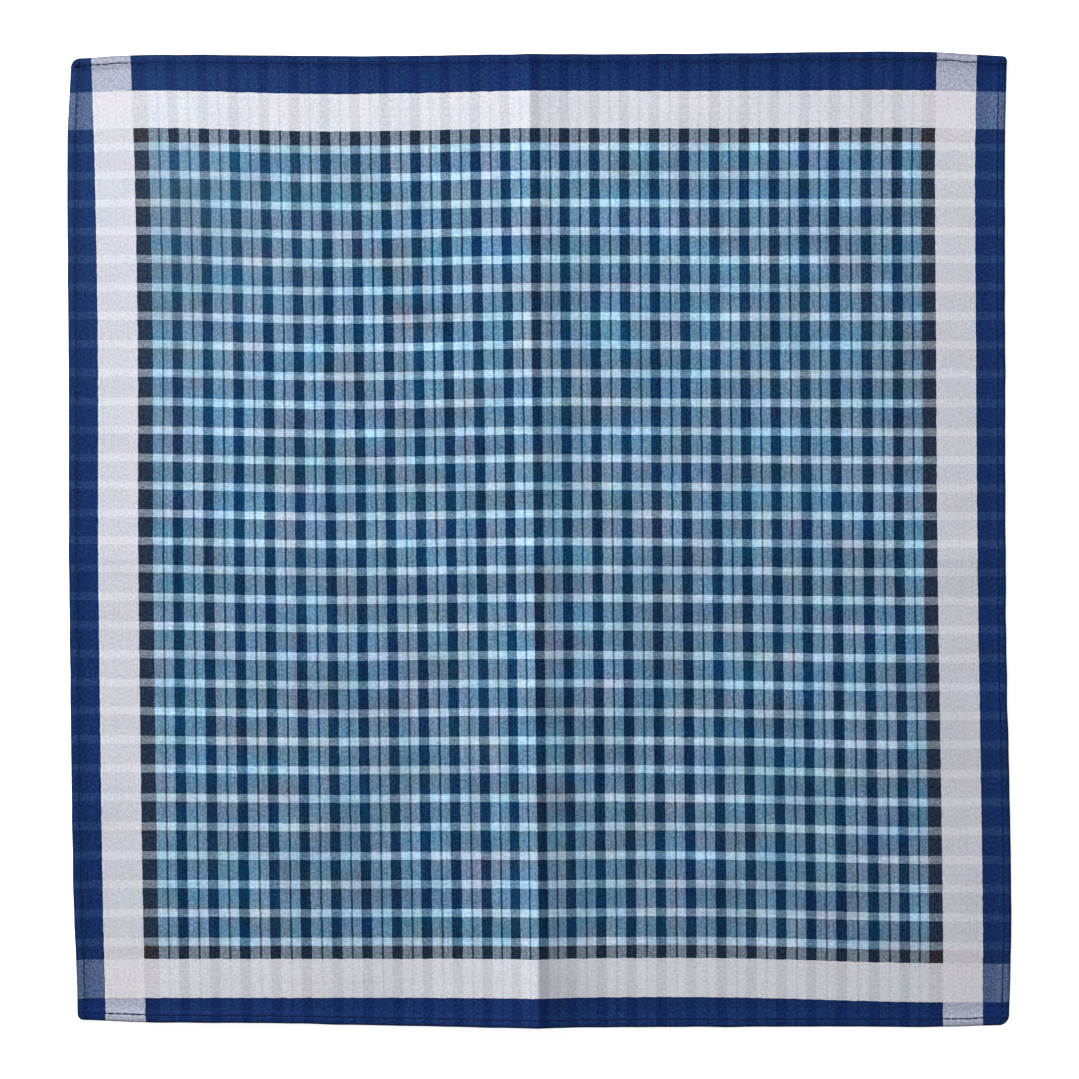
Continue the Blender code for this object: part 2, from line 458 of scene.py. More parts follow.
# %% [markdown]
# ## The cloth itself
# Now the two faces and the rim become one closed mesh. It carries two UV maps. "yarns" is the
# one that the material counts with. "OFBake" lays the face and the back over each other on one
# square, which is true to the cloth, since a yarn-dyed check looks the same from both sides.
# The rim would be a line on both maps, so there it is drawn out by a few yarns.

# %% Build the cloth
BAKE_MARGIN = 0.004
BAKE_RIM = 0.003
RIM_YARNS = 3.0


def make_cloth():
    """The face, the back and the rim as one mesh, with its two UV maps."""
    across, up = np.meshgrid(columns, rows)
    x, y, under, over = laid(across, up)
    sides = np.broadcast_to(x[:, :1], x.shape), np.broadcast_to(x[:, -1:], x.shape)
    ends = np.broadcast_to(y[:1], y.shape), np.broadcast_to(y[-1:], y.shape)
    share_up = np.clip(y / CLOTH_HEIGHT + 0.5, 0, 1)
    share_across = np.clip(x / CLOTH_WIDTH + 0.5, 0, 1)
    warp = yarn_at(x, sides, share_up, WARP_RUN, warp_number, WARP_STEPS, WARP_PLAN)
    weft = yarn_at(y, ends, share_across, WEFT_RUN, weft_number, WEFT_STEPS, WEFT_PLAN)

    number = np.arange(across.size).reshape(across.shape)
    squares = np.stack(
        [number[:-1, :-1], number[:-1, 1:], number[1:, 1:], number[1:, :-1]], axis=-1
    ).reshape(-1, 4)
    rim = np.concatenate(
        [number[0, :-1], number[:-1, -1], number[-1, :0:-1], number[:0:-1, 0]]
    )
    rim_next = np.roll(rim, -1)
    lower = across.size
    strip = np.stack([rim + lower, rim_next + lower, rim_next, rim], axis=-1)
    faces = np.concatenate([squares, squares[:, ::-1] + lower, strip])
    points = np.concatenate(
        [np.stack([x, y, z], axis=-1).reshape(-1, 3) for z in (over, under)]
    )

    mesh = bpy.data.meshes.new("handkerchief")
    mesh.from_pydata(points.tolist(), [], faces.tolist())
    corner_points = np.empty(len(mesh.loops), int)
    mesh.loops.foreach_get("vertex_index", corner_points)
    on_the_strip = np.arange(len(corner_points)) >= 2 * squares.size
    round_the_rim = on_the_strip & (corner_points >= lower)
    corner_points %= lower
    outwards = np.stack(
        [np.sign(across - CLOTH_WIDTH / 2), np.sign(up - CLOTH_HEIGHT / 2)], axis=-1
    )
    outwards[1:-1, :, 1] = 0
    outwards[:, 1:-1, 0] = 0
    outwards = outwards.reshape(-1, 2)[corner_points]
    shares = np.stack([across / CLOTH_WIDTH, up / CLOTH_HEIGHT], axis=-1)
    maps = (
        ("yarns", np.stack([warp, weft], axis=-1), RIM_YARNS),
        ("OFBake", BAKE_MARGIN + (1 - 2 * BAKE_MARGIN) * shares, BAKE_RIM),
    )
    for name, values, rim_width in maps:
        places = values.reshape(-1, 2)[corner_points]
        places[round_the_rim] += rim_width * outwards[round_the_rim]
        layer = mesh.uv_layers.new(name=name)
        layer.data.foreach_set("uv", places.ravel())
    mesh.shade_smooth()
    mesh.update()
    cloth = bpy.data.objects.new("handkerchief", mesh)
    bpy.context.scene.collection.objects.link(cloth)
    return cloth


cloth = make_cloth()
print("the cloth has", len(cloth.data.polygons), "squares")

# %% [markdown]
# ## Small helpers for shader trees
# A weave needs a lot of arithmetic. These helpers take numbers or sockets alike, so that a
# formula in the shader reads almost as it would on paper. A colour ramp would be the usual way
# to paint stripes, but it is kept as only 256 steps, too coarse to place an edge among 1,200
# yarns. Comparing the yarn's number with a stripe's first yarn is exact.

# %% Helpers that add and link nodes
# Each noise reads a layer of its own, so that no two make the same clouds
LAYERS = {
    "warp tone": 2.0,
    "patches": 4.0,
    "crossings": 6.0,
    "weft tone": 9.0,
    "hairs": 12.0,
    "streaks": 15.0,
    "warp bend": 31.0,
    "weft bend": 37.0,
}
FINER_DETAIL = 2.0


def plug(tree, socket, value):
    """Links a socket to a value, or sets the value on it."""
    if isinstance(value, bpy.types.NodeSocket):
        tree.links.new(value, socket)
    else:
        socket.default_value = value


def maths(tree, operation, *values):
    node = tree.nodes.new("ShaderNodeMath")
    node.operation = operation
    for socket, value in zip(node.inputs, values):
        plug(tree, socket, value)
    return node.outputs[0]


def mixed(tree, share, first, second, kind="FLOAT"):
    """A mix of two numbers, or of two colours where kind is RGBA."""
    node = tree.nodes.new("ShaderNodeMix")
    node.data_type = kind
    wanted = "RGBA" if kind == "RGBA" else "VALUE"
    inputs = [s for s in node.inputs if s.type == wanted and s.name in ("A", "B")]
    plug(tree, node.inputs["Factor"], share)
    plug(tree, inputs[0], first)
    plug(tree, inputs[1], second)
    return next(s for s in node.outputs if s.type == wanted)


def vector(tree, x, y, z=0.0):
    node = tree.nodes.new("ShaderNodeCombineXYZ")
    for socket, value in zip(node.inputs, (x, y, z)):
        plug(tree, socket, value)
    return node.outputs[0]


def clouds(tree, x, y, to_a_yarn, layer, detail=1.0):
    """Perlin noise, so many clouds to a yarn each way: a number and three, about a half."""
    place = [maths(tree, "MULTIPLY", number, scale) for number, scale in zip((x, y), to_a_yarn)]
    node = tree.nodes.new("ShaderNodeTexNoise")
    node.inputs["Scale"].default_value = 1.0
    node.inputs["Detail"].default_value = detail
    plug(tree, node.inputs["Vector"], vector(tree, *place, LAYERS[layer]))
    return node.outputs["Fac"], node.outputs["Color"]


def swing(tree, noise_socket, amount):
    """Noise turned into a swing to both sides of nothing."""
    return maths(tree, "MULTIPLY", maths(tree, "SUBTRACT", noise_socket, 0.5), amount)


def striped(tree, number, first, *changes):
    """Colours or numbers that change at a yarn's number. Each change is its number and value."""
    result = first
    for start, value in changes:
        kind = "FLOAT" if isinstance(value, float) else "RGBA"
        past = maths(tree, "GREATER_THAN", number, float(start))
        result = mixed(tree, past, result, value, kind)
    return result


# %% [markdown]
# ## The yarns' colours
# Colours are given as they look on screen, from 0 to 255. Two yarns that cross blend evenly to
# the eye, so the blending is done on these screen values and turned into light at the very end.
# The black is a soft and slightly warm one: where it crosses navy it goes nearly black, and
# where it crosses sky blue it goes a warm grey, as it does in the real cloth. Where it crosses
# itself the real cloth shows a cool dark grey, so that crossing has a colour of its own.

# %% Yarn colours
SCREEN_GAMMA = 2.2


def seen(red, green, blue):
    return (red / 255, green / 255, blue / 255, 1.0)


WARP_COLOURS = {
    "navy": seen(19, 46, 96),
    "white": seen(215, 213, 221),
    "black": seen(56, 46, 52),
    "sky": seen(175, 207, 232),
    "thin": seen(42, 76, 99),
    "dark": seen(9, 47, 78),
}
WEFT_COLOURS = {
    "navy": seen(14, 41, 92),
    "white": seen(215, 213, 220),
    "black": seen(50, 42, 48),
    "sky": seen(175, 203, 224),
    "dark": seen(17, 54, 87),
}
BLACK_ON_BLACK = seen(48, 47, 56)
BLACK_COOLS = 0.75


def black_on_black(tree, warp, weft):
    """1 where two black yarns cross, at the check's four corners, and 0 elsewhere."""
    blacks = []
    for number, (border, check_end, far_border) in ((warp, WARP_PLAN), (weft, WEFT_PLAN)):
        check_start = sum(border.values())
        changes = (
            (check_start - border["black"], 1.0),
            (check_start, 0.0),
            (check_end, 1.0),
            (check_end + far_border["black"], 0.0),
        )
        blacks.append(striped(tree, number, 0.0, *changes))
    return maths(tree, "MULTIPLY", *blacks)


def dyed(tree, number, dye, check, plan):
    """A yarn's colour from one edge of the cloth to the other: border, check and border."""
    border, check_end, far_border = plan
    starts = np.cumsum(list(border.values()))
    far_starts = check_end + np.cumsum(list(far_border.values()))
    return striped(
        tree,
        number,
        dye["navy"],
        (starts[0], dye["white"]),
        (starts[1], dye["black"]),
        (starts[2], check),
        (check_end, dye["black"]),
        (far_starts[0], dye["white"]),
        (far_starts[1], dye["navy"]),
    )


def warp_dye(tree, warp):
    """The warp yarn's colour, across the whole cloth."""
    dye, starts = WARP_COLOURS, np.cumsum(list(WARP_REPEAT.values()))
    count = maths(tree, "SUBTRACT", warp, float(warp_check_start))
    turn = maths(tree, "FLOORED_MODULO", count, float(warp_repeat))
    stripes = zip(starts, (dye["thin"], dye["sky"], dye["dark"]))
    return dyed(tree, warp, dye, striped(tree, turn, dye["sky"], *stripes), WARP_PLAN)


def weft_dye(tree, weft):
    """The weft yarn's colour, up the whole cloth."""
    dye = WEFT_COLOURS
    count = maths(tree, "SUBTRACT", weft, float(weft_check_start))
    turn = maths(tree, "FLOORED_MODULO", count, float(weft_repeat))
    check = striped(tree, turn, dye["sky"], (WEFT_REPEAT["sky"], dye["dark"]))
    return dyed(tree, weft, dye, check, WEFT_PLAN)


print("the warp repeats every", warp_repeat, "yarns and the weft every", weft_repeat)

# %% [markdown]
# ## How the yarns cross
# In the check and the black line, warp and weft pass over and under by turns: plain weave. In
# the navy and white borders the border's own yarns float over four and dip under one, a satin,
# so the border hides the stripes that it crosses and only a shadow of them shows. Where two
# borders cross, in the corners, both want to float and the block turns a speckled pale or dark
# blue. The navy weft is finer and packed closer: it hides the stripes under it better, but it
# shows less where white warp floats over it. One number per crossing decides it all: how much of
# the warp shows there.

# %% The interlacing
PLAIN_CONTRAST = 0.18
SATIN_STEP = 5.0
SATIN_SHOWS = 0.96
SATIN_DIP = 0.20
CORNER_SHOWS = 0.74
CORNER_DIP = 0.22
OVER_NAVY = 0.06
UNDER_NAVY = 0.38
UNEVEN_CROSSINGS = 0.56
UNEVEN_SCALE = (0.32, 0.32)
SATIN_UNEVENNESS = 0.20


def floating(tree, number, plan):
    """1 in a border's navy and white yarns, which float, and 0 between."""
    border, check_end, far_border = plan
    first_black, far_white = border["navy"] + border["white"], check_end + far_border["black"]
    return striped(tree, number, 1.0, (first_black, 0.0), (far_white, 1.0))


def interlacing(tree, warp, weft):
    """How much of the warp shows, from 0 to 1. Then 1 for smooth satin, and 1 for any border."""
    warp_count, weft_count = maths(tree, "FLOOR", warp), maths(tree, "FLOOR", weft)
    warp_floats, weft_floats = floating(tree, warp, WARP_PLAN), floating(tree, weft, WEFT_PLAN)
    total = maths(tree, "ADD", warp_count, weft_count)
    odd = maths(tree, "FLOORED_MODULO", total, 2.0)
    plain = maths(tree, "MULTIPLY_ADD", odd, -2 * PLAIN_CONTRAST, 0.5 + PLAIN_CONTRAST)
    satin_total = maths(tree, "MULTIPLY_ADD", warp_count, 2.0, weft_count)
    place = maths(tree, "FLOORED_MODULO", satin_total, SATIN_STEP)
    dips = maths(tree, "LESS_THAN", place, 0.5)
    warp_satin = maths(tree, "MULTIPLY_ADD", dips, -SATIN_DIP, SATIN_SHOWS)
    navy_weft = striped(
        tree,
        weft,
        1.0,
        (WEFT_BORDER["navy"], 0.0),
        (weft_yarns - WEFT_END_BORDER["navy"], 1.0),
    )
    under_weft = maths(tree, "MULTIPLY_ADD", navy_weft, -UNDER_NAVY, 1.0)
    weft_satin = maths(tree, "MULTIPLY", maths(tree, "SUBTRACT", 1.0, warp_satin), under_weft)
    over_weft = maths(tree, "MULTIPLY_ADD", navy_weft, OVER_NAVY, CORNER_SHOWS)
    corner = maths(tree, "MULTIPLY_ADD", dips, -CORNER_DIP, over_weft)
    shows = mixed(tree, warp_floats, plain, warp_satin)
    shows = mixed(tree, weft_floats, shows, mixed(tree, warp_floats, weft_satin, corner))
    satin = maths(tree, "ABSOLUTE", maths(tree, "SUBTRACT", warp_floats, weft_floats))
    border = maths(tree, "MAXIMUM", warp_floats, weft_floats)
    evenness = maths(tree, "MULTIPLY_ADD", satin, SATIN_UNEVENNESS - 1, 1.0)

    uneven, _ = clouds(tree, warp, weft, UNEVEN_SCALE, "crossings")
    uneven = maths(tree, "MULTIPLY", swing(tree, uneven, UNEVEN_CROSSINGS), evenness)
    shows = maths(tree, "ADD", shows, uneven)
    return maths(tree, "MINIMUM", maths(tree, "MAXIMUM", shows, 0.0), 1.0), satin, border


# %% [markdown]
# ## What makes it cotton and not print, and painted haze and shade
# A spun yarn is thick here and thin there, takes the dye a little differently from its
# neighbour, and is hairy. The whole cloth has also faded unevenly in washing: soft patches, a
# check or two wide, have turned mauve and others blue or green, and streaks run up the warp. Each
# of these is its own small noise below, at its own scale. All read the yarn numbers, so that slubs
# run along their yarn. A tint is added to the colour and not mixed in, since dye loses its
# colour by the same step in dark and in light yarns. Towards the lamp, near the check's upper left
# corner and further down its side than along its top, a painted haze of light is laid on: its
# darks are paler and its lights duller, so there the colour is drawn to one between.
# The last few yarns before the edge are darkened: painted shade where the hem's fold turns down.

# %% Yarn and cloth unevenness, and painted haze and edge shade
YARN_UNEVENNESS = 0.34
YARN_SHADE = 0.12
SLUB_SCALE = (0.71, 0.13)
YARN_WANDER = 1.0
WANDER_SCALE = (0.05, 0.09)
BORDER_EVENNESS = 0.70
FUZZ = 0.33
FUZZ_SCALE = (0.30, 0.30)
BORDER_FUZZ = 0.75
PATCH_SCALE = (0.012, 0.026)
PATCH_TINT = (0.20, -0.04, -0.11)
PATCH_GREEN = (-0.01, 0.06, -0.05)
PATCH_VALUE = 0.36
STREAK_SCALE = (0.09, 0.004)
STREAK = 0.13
STREAK_TINT = 0.60
BORDER_PATCHES = 0.20
# Painted haze of light near the check's upper left corner, on the lamp's side
CORNER_HAZE_PAINTED = 0.42
CORNER_HAZE_REACH = 0.50
CORNER_HAZE_NARROWER = 1.4
CORNER_HAZE_COLOUR = (0.44, 0.51, 0.56, 1.0)
# Painted shade at the hem's fold: how many yarns it covers, and how much darker
EDGE_YARNS = 4.0
EDGE_SHADE = 0.28


def wandering(tree, own, other, layer):
    """A yarn's number, bent a little so that stripes aren't ruled with a ruler."""
    bend, _ = clouds(tree, own, other, WANDER_SCALE, layer, FINER_DETAIL)
    return maths(tree, "ADD", own, swing(tree, bend, 2 * YARN_WANDER))


def yarn_tone(tree, number, along, layer, border):
    """How light a yarn is at a place: thick and thin along it, and a shade of its own."""
    count = maths(tree, "FLOOR", number)
    slub, _ = clouds(tree, count, along, SLUB_SCALE, layer, FINER_DETAIL)
    own = tree.nodes.new("ShaderNodeTexWhiteNoise")
    own.noise_dimensions = "2D"
    plug(tree, own.inputs["Vector"], vector(tree, count, LAYERS[layer]))
    slub, own = swing(tree, slub, YARN_UNEVENNESS), swing(tree, own.outputs["Value"], YARN_SHADE)
    evenness = maths(tree, "MULTIPLY_ADD", border, -BORDER_EVENNESS, 1.0)
    return maths(tree, "MULTIPLY_ADD", maths(tree, "ADD", slub, own), evenness, 1.0)


def toned(tree, colour, tone):
    """A colour made lighter or darker by a factor."""
    node = tree.nodes.new("ShaderNodeVectorMath")
    node.operation = "SCALE"
    plug(tree, node.inputs[0], colour)
    plug(tree, node.inputs["Scale"], tone)
    return node.outputs[0]


def added(tree, colour, red, green, blue):
    """A colour with a little added to each of its parts."""
    node = tree.nodes.new("ShaderNodeVectorMath")
    node.operation = "ADD"
    plug(tree, node.inputs[0], colour)
    plug(tree, node.inputs[1], vector(tree, red, green, blue))
    return node.outputs[0]


def parts_of(tree, triple):
    """The three numbers of a vector or a colour."""
    split = tree.nodes.new("ShaderNodeSeparateXYZ")
    tree.links.new(triple, split.inputs[0])
    return split.outputs[0], split.outputs[1], split.outputs[2]


def fuzzy(tree, colour, warp, weft, border):
    """A colour with the fine light and dark of the yarns' hairs, which lie flatter in satin."""
    hairs, _ = clouds(tree, warp, weft, FUZZ_SCALE, "hairs", FINER_DETAIL)
    kept = maths(tree, "MULTIPLY_ADD", border, BORDER_FUZZ - 1, 1.0)
    hairs = maths(tree, "MULTIPLY", swing(tree, hairs, FUZZ), kept)
    return added(tree, colour, hairs, hairs, hairs)


def patchy(tree, colour, warp, weft):
    """A colour with the check's soft patches of tint and lightness, and streaks up its warp."""
    _, patches = clouds(tree, warp, weft, PATCH_SCALE, "patches", FINER_DETAIL)
    streaks, streak_parts = clouds(tree, warp, weft, STREAK_SCALE, "streaks")
    patch_tint, patch_value, patch_green = parts_of(tree, patches)
    _, streak_tint, _ = parts_of(tree, streak_parts)
    outside = maths(
        tree,
        "MAXIMUM",
        striped(tree, warp, 1.0, (warp_check_start, 0.0), (warp_check_end, 1.0)),
        striped(tree, weft, 1.0, (weft_check_start, 0.0), (weft_check_end, 1.0)),
    )
    kept = maths(tree, "MULTIPLY_ADD", outside, BORDER_PATCHES - 1, 1.0)
    faded = maths(
        tree, "ADD", swing(tree, patch_tint, 1.0), swing(tree, streak_tint, STREAK_TINT)
    )
    faded = maths(tree, "MULTIPLY", faded, kept)
    greener = maths(tree, "MULTIPLY", swing(tree, patch_green, 1.0), kept)
    lighter = maths(tree, "MULTIPLY", swing(tree, streaks, STREAK), kept)
    tint = []
    for part, green_part in zip(PATCH_TINT, PATCH_GREEN):
        green = maths(tree, "MULTIPLY_ADD", greener, green_part, lighter)
        tint.append(maths(tree, "MULTIPLY_ADD", faded, part, green))
    value = maths(tree, "MULTIPLY", swing(tree, patch_value, PATCH_VALUE), kept)
    colour = toned(tree, added(tree, colour, *tint), maths(tree, "ADD", value, 1.0))
    # The painted haze of light near the upper left corner goes on last
    return corner_painted_haze(tree, colour, warp, weft, kept)


def corner_painted_haze(tree, colour, warp, weft, kept):
    """A colour drawn towards a pale one near the cloth's upper left corner: a painted haze of
    light.
    """
    from_left = maths(tree, "MULTIPLY", warp, CORNER_HAZE_NARROWER / warp_yarns)
    from_top = maths(tree, "MULTIPLY_ADD", weft, -1 / weft_yarns, 1.0)
    squares = [maths(tree, "MULTIPLY", part, part) for part in (from_left, from_top)]
    away = maths(tree, "SQRT", maths(tree, "ADD", *squares))
    near = maths(tree, "MAXIMUM", maths(tree, "MULTIPLY_ADD", away, -1 / CORNER_HAZE_REACH, 1.0), 0.0)
    share = maths(tree, "MULTIPLY", maths(tree, "MULTIPLY", near, CORNER_HAZE_PAINTED), kept)
    return mixed(tree, share, colour, CORNER_HAZE_COLOUR, "RGBA")


def edge_painted_shade(tree, warp, weft):
    """1 over the cloth, and less in the last few yarns before its edge: painted shade at the hem's
    fold.
    """
    near_side = maths(tree, "MINIMUM", warp, maths(tree, "SUBTRACT", float(warp_yarns), warp))
    near_end = maths(tree, "MINIMUM", weft, maths(tree, "SUBTRACT", float(weft_yarns), weft))
    share = maths(tree, "DIVIDE", maths(tree, "MINIMUM", near_side, near_end), EDGE_YARNS)
    share = maths(tree, "MINIMUM", maths(tree, "MAXIMUM", share, 0.0), 1.0)
    return maths(tree, "MULTIPLY_ADD", share, EDGE_SHADE, 1 - EDGE_SHADE)


# %% [markdown]
# ## The finished cotton
# The yarn on top at each crossing shows its round back, which gives the relief. Cotton is matt,
# and the satin of the borders is a shade smoother than the plain weave. Its hairs catch a
# little light at the rim of a fold, which is what sheen is for.

# %% The woven cotton's material
YARN_RELIEF = 0.00012
RELIEF_STRENGTH = 0.35
PLAIN_ROUGHNESS = 0.88
SATIN_SMOOTHER = 0.10
COTTON_SPECULAR = 0.10
COTTON_SHEEN = 0.05
SHEEN_ROUGHNESS = 0.5
DARKEST = 0.01


def crown(tree, position):
    """A yarn's round back: 1 along its middle and 0 at its sides."""
    part = maths(tree, "SUBTRACT", maths(tree, "FRACT", position), 0.5)
    return maths(tree, "MULTIPLY_ADD", maths(tree, "MULTIPLY", part, part), -4.0, 1.0)


def woven_cotton():
    material = bpy.data.materials.new("checked cotton")
    material.use_nodes = True
    tree = material.node_tree
    shader = tree.nodes["Principled BSDF"]
    yarns = tree.nodes.new("ShaderNodeUVMap")
    yarns.uv_map = "yarns"
    true_warp, true_weft, _ = parts_of(tree, yarns.outputs["UV"])
    warp = wandering(tree, true_warp, true_weft, "warp bend")
    weft = wandering(tree, true_weft, true_warp, "weft bend")

    shows, satin, border = interlacing(tree, warp, weft)
    warp_tone = yarn_tone(tree, warp, weft, "warp tone", border)
    weft_tone = yarn_tone(tree, weft, warp, "weft tone", border)
    warp_colour = toned(tree, warp_dye(tree, warp), warp_tone)
    weft_colour = toned(tree, weft_dye(tree, weft), weft_tone)
    colour = mixed(tree, shows, weft_colour, warp_colour, "RGBA")
    cooled = maths(tree, "MULTIPLY", black_on_black(tree, warp, weft), BLACK_COOLS)
    colour = mixed(tree, cooled, colour, BLACK_ON_BLACK, "RGBA")
    colour = patchy(tree, fuzzy(tree, colour, warp, weft, border), warp, weft)
    # Painted shade darkens the last few yarns before the edge
    colour = toned(tree, colour, edge_painted_shade(tree, true_warp, true_weft))
    never_less = tree.nodes.new("ShaderNodeVectorMath")
    never_less.operation = "MAXIMUM"
    never_less.inputs[1].default_value = (DARKEST, DARKEST, DARKEST)
    plug(tree, never_less.inputs[0], colour)
    light = tree.nodes.new("ShaderNodeGamma")
    light.inputs["Gamma"].default_value = SCREEN_GAMMA
    tree.links.new(never_less.outputs[0], light.inputs["Color"])
    tree.links.new(light.outputs["Color"], shader.inputs["Base Color"])

    relief = mixed(
        tree, maths(tree, "GREATER_THAN", shows, 0.5), crown(tree, weft), crown(tree, warp)
    )
    bump = tree.nodes.new("ShaderNodeBump")
    bump.inputs["Strength"].default_value = RELIEF_STRENGTH
    bump.inputs["Distance"].default_value = YARN_RELIEF
    plug(tree, bump.inputs["Height"], relief)
    tree.links.new(bump.outputs["Normal"], shader.inputs["Normal"])
    rough = maths(tree, "MULTIPLY_ADD", satin, -SATIN_SMOOTHER, PLAIN_ROUGHNESS)
    tree.links.new(rough, shader.inputs["Roughness"])
    shader.inputs["Specular IOR Level"].default_value = COTTON_SPECULAR
    shader.inputs["Sheen Weight"].default_value = COTTON_SHEEN
    shader.inputs["Sheen Roughness"].default_value = SHEEN_ROUGHNESS
    return material


cloth.data.materials.append(woven_cotton())
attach(cloth, "root")
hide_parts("cloth")
print("the weave's material has", len(cloth.data.materials[0].node_tree.nodes), "nodes")

# %% [markdown]
# ## The hem's stitches
# A lockstitch machine lays one thread on the face and one on the back, and each stitch is a
# short arch that dives into the cloth at both ends. There are over five hundred on each side,
# all alike, so Geometry Nodes set them out: a line of points follows the hem, one arch is
# drawn, and it is placed at every stitch, turned to the line. Each point of the line carries a
# note, "facing", of which way is out, so that one tree sews the face and the back.

# %% The thread's material
THREAD_DARK = (0.0035, 0.0110, 0.0480, 1.0)
THREAD_LIGHT = (0.0070, 0.0210, 0.0950, 1.0)
THREAD_TWIST = 900.0
THREAD_RELIEF = 0.00005
THREAD_RELIEF_STRENGTH = 0.4
THREAD_ROUGHNESS = 0.8


def sewing_thread():
    """Navy thread, with the slanting light and dark of its twist."""
    material = bpy.data.materials.new("navy sewing thread")
    material.use_nodes = True
    tree = material.node_tree
    shader = tree.nodes["Principled BSDF"]
    place = tree.nodes.new("ShaderNodeTexCoord").outputs["Object"]
    wave = tree.nodes.new("ShaderNodeTexWave")
    wave.bands_direction = "DIAGONAL"
    wave.inputs["Scale"].default_value = THREAD_TWIST
    tree.links.new(place, wave.inputs["Vector"])
    colour = mixed(tree, wave.outputs["Fac"], THREAD_DARK, THREAD_LIGHT, "RGBA")
    tree.links.new(colour, shader.inputs["Base Color"])
    bump = tree.nodes.new("ShaderNodeBump")
    bump.inputs["Strength"].default_value = THREAD_RELIEF_STRENGTH
    bump.inputs["Distance"].default_value = THREAD_RELIEF
    tree.links.new(wave.outputs["Fac"], bump.inputs["Height"])
    tree.links.new(bump.outputs["Normal"], shader.inputs["Normal"])
    shader.inputs["Roughness"].default_value = THREAD_ROUGHNESS
    shader.inputs["Specular IOR Level"].default_value = COTTON_SPECULAR
    return material


thread = sewing_thread()

# %% One stitch, as nodes
STITCH_DIVE = 0.8
STITCH_HANDLE = 0.3
STITCH_STEPS = 4
THREAD_SIDES = 6


def stitch_arch(tree, length, width, height):
    """A short thread along X that arches up and dives at both ends."""
    dip = maths(tree, "MULTIPLY", height, -STITCH_DIVE)
    arch = tree.nodes.new("GeometryNodeCurvePrimitiveBezierSegment")
    arch.inputs["Resolution"].default_value = STITCH_STEPS
    ends = (("Start", -0.5, dip), ("End", 0.5, dip))
    handles = (("Start Handle", -STITCH_HANDLE, height), ("End Handle", STITCH_HANDLE, height))
    for name, share, rise in ends + handles:
        along = maths(tree, "MULTIPLY", length, share)
        plug(tree, arch.inputs[name], vector(tree, along, 0.0, rise))
    section = tree.nodes.new("GeometryNodeCurvePrimitiveCircle")
    section.inputs["Resolution"].default_value = THREAD_SIDES
    plug(tree, section.inputs["Radius"], maths(tree, "MULTIPLY", width, 0.5))
    body = tree.nodes.new("GeometryNodeCurveToMesh")
    tree.links.new(arch.outputs[0], body.inputs["Curve"])
    tree.links.new(section.outputs["Curve"], body.inputs["Profile Curve"])
    body.inputs["Fill Caps"].default_value = True
    return body.outputs[0]


# %% The tree that sets out stitches
SMALLEST_STITCH = (0.90, 0.85, 0.80)
LARGEST_STITCH = (1.06, 1.15, 1.20)


def stitch_tree():
    """Named inputs: Pitch, Length, Width, Height and Seed. The line comes in as geometry."""
    tree = bpy.data.node_groups.new("Hem stitches", "GeometryNodeTree")
    face = tree.interface
    face.new_socket("Geometry", in_out="INPUT", socket_type="NodeSocketGeometry")
    for name in ("Pitch", "Length", "Width", "Height"):
        face.new_socket(name, in_out="INPUT", socket_type="NodeSocketFloat")
    face.new_socket("Seed", in_out="INPUT", socket_type="NodeSocketInt")
    face.new_socket("Geometry", in_out="OUTPUT", socket_type="NodeSocketGeometry")
    given = tree.nodes.new("NodeGroupInput").outputs
    result = tree.nodes.new("NodeGroupOutput")

    line = tree.nodes.new("GeometryNodeMeshToCurve")
    tree.links.new(given["Geometry"], line.inputs["Mesh"])
    points = tree.nodes.new("GeometryNodeCurveToPoints")
    points.mode = "LENGTH"
    tree.links.new(line.outputs[0], points.inputs["Curve"])
    plug(tree, points.inputs["Length"], given["Pitch"])
    facing = tree.nodes.new("GeometryNodeInputNamedAttribute")
    facing.data_type = "FLOAT"
    facing.inputs["Name"].default_value = "facing"
    out = next(s for s in facing.outputs if s.type == "VALUE")
    turn = tree.nodes.new("FunctionNodeAxesToRotation")
    turn.primary_axis = "X"
    turn.secondary_axis = "Z"
    tree.links.new(points.outputs["Tangent"], turn.inputs[0])
    plug(tree, turn.inputs[1], vector(tree, 0.0, 0.0, out))

    vary = tree.nodes.new("FunctionNodeRandomValue")
    vary.data_type = "FLOAT_VECTOR"
    vary.inputs[0].default_value = SMALLEST_STITCH
    vary.inputs[1].default_value = LARGEST_STITCH
    tree.links.new(given["Seed"], vary.inputs["Seed"])
    placed = tree.nodes.new("GeometryNodeInstanceOnPoints")
    tree.links.new(points.outputs["Points"], placed.inputs["Points"])
    stitch = stitch_arch(tree, given["Length"], given["Width"], given["Height"])
    tree.links.new(stitch, placed.inputs["Instance"])
    tree.links.new(turn.outputs[0], placed.inputs["Rotation"])
    tree.links.new(vary.outputs[0], placed.inputs["Scale"])
    smooth = tree.nodes.new("GeometryNodeSetShadeSmooth")
    tree.links.new(placed.outputs[0], smooth.inputs[0])
    real = tree.nodes.new("GeometryNodeRealizeInstances")
    tree.links.new(smooth.outputs[0], real.inputs[0])
    painted = tree.nodes.new("GeometryNodeSetMaterial")
    painted.inputs["Material"].default_value = thread
    tree.links.new(real.outputs[0], painted.inputs["Geometry"])
    tree.links.new(painted.outputs[0], result.inputs[0])
    return tree


stitching = stitch_tree()
print("the stitching tree takes", [item.name for item in stitching.interface.items_tree])

# %% The line that the stitches follow
LINE_STEP = 0.0020
LINE_ENDS = 0.0028
LINE_WANDER = 0.00035
LINE_WANDER_SPACING = 0.006
FIRST_LINE_LAYER = 60


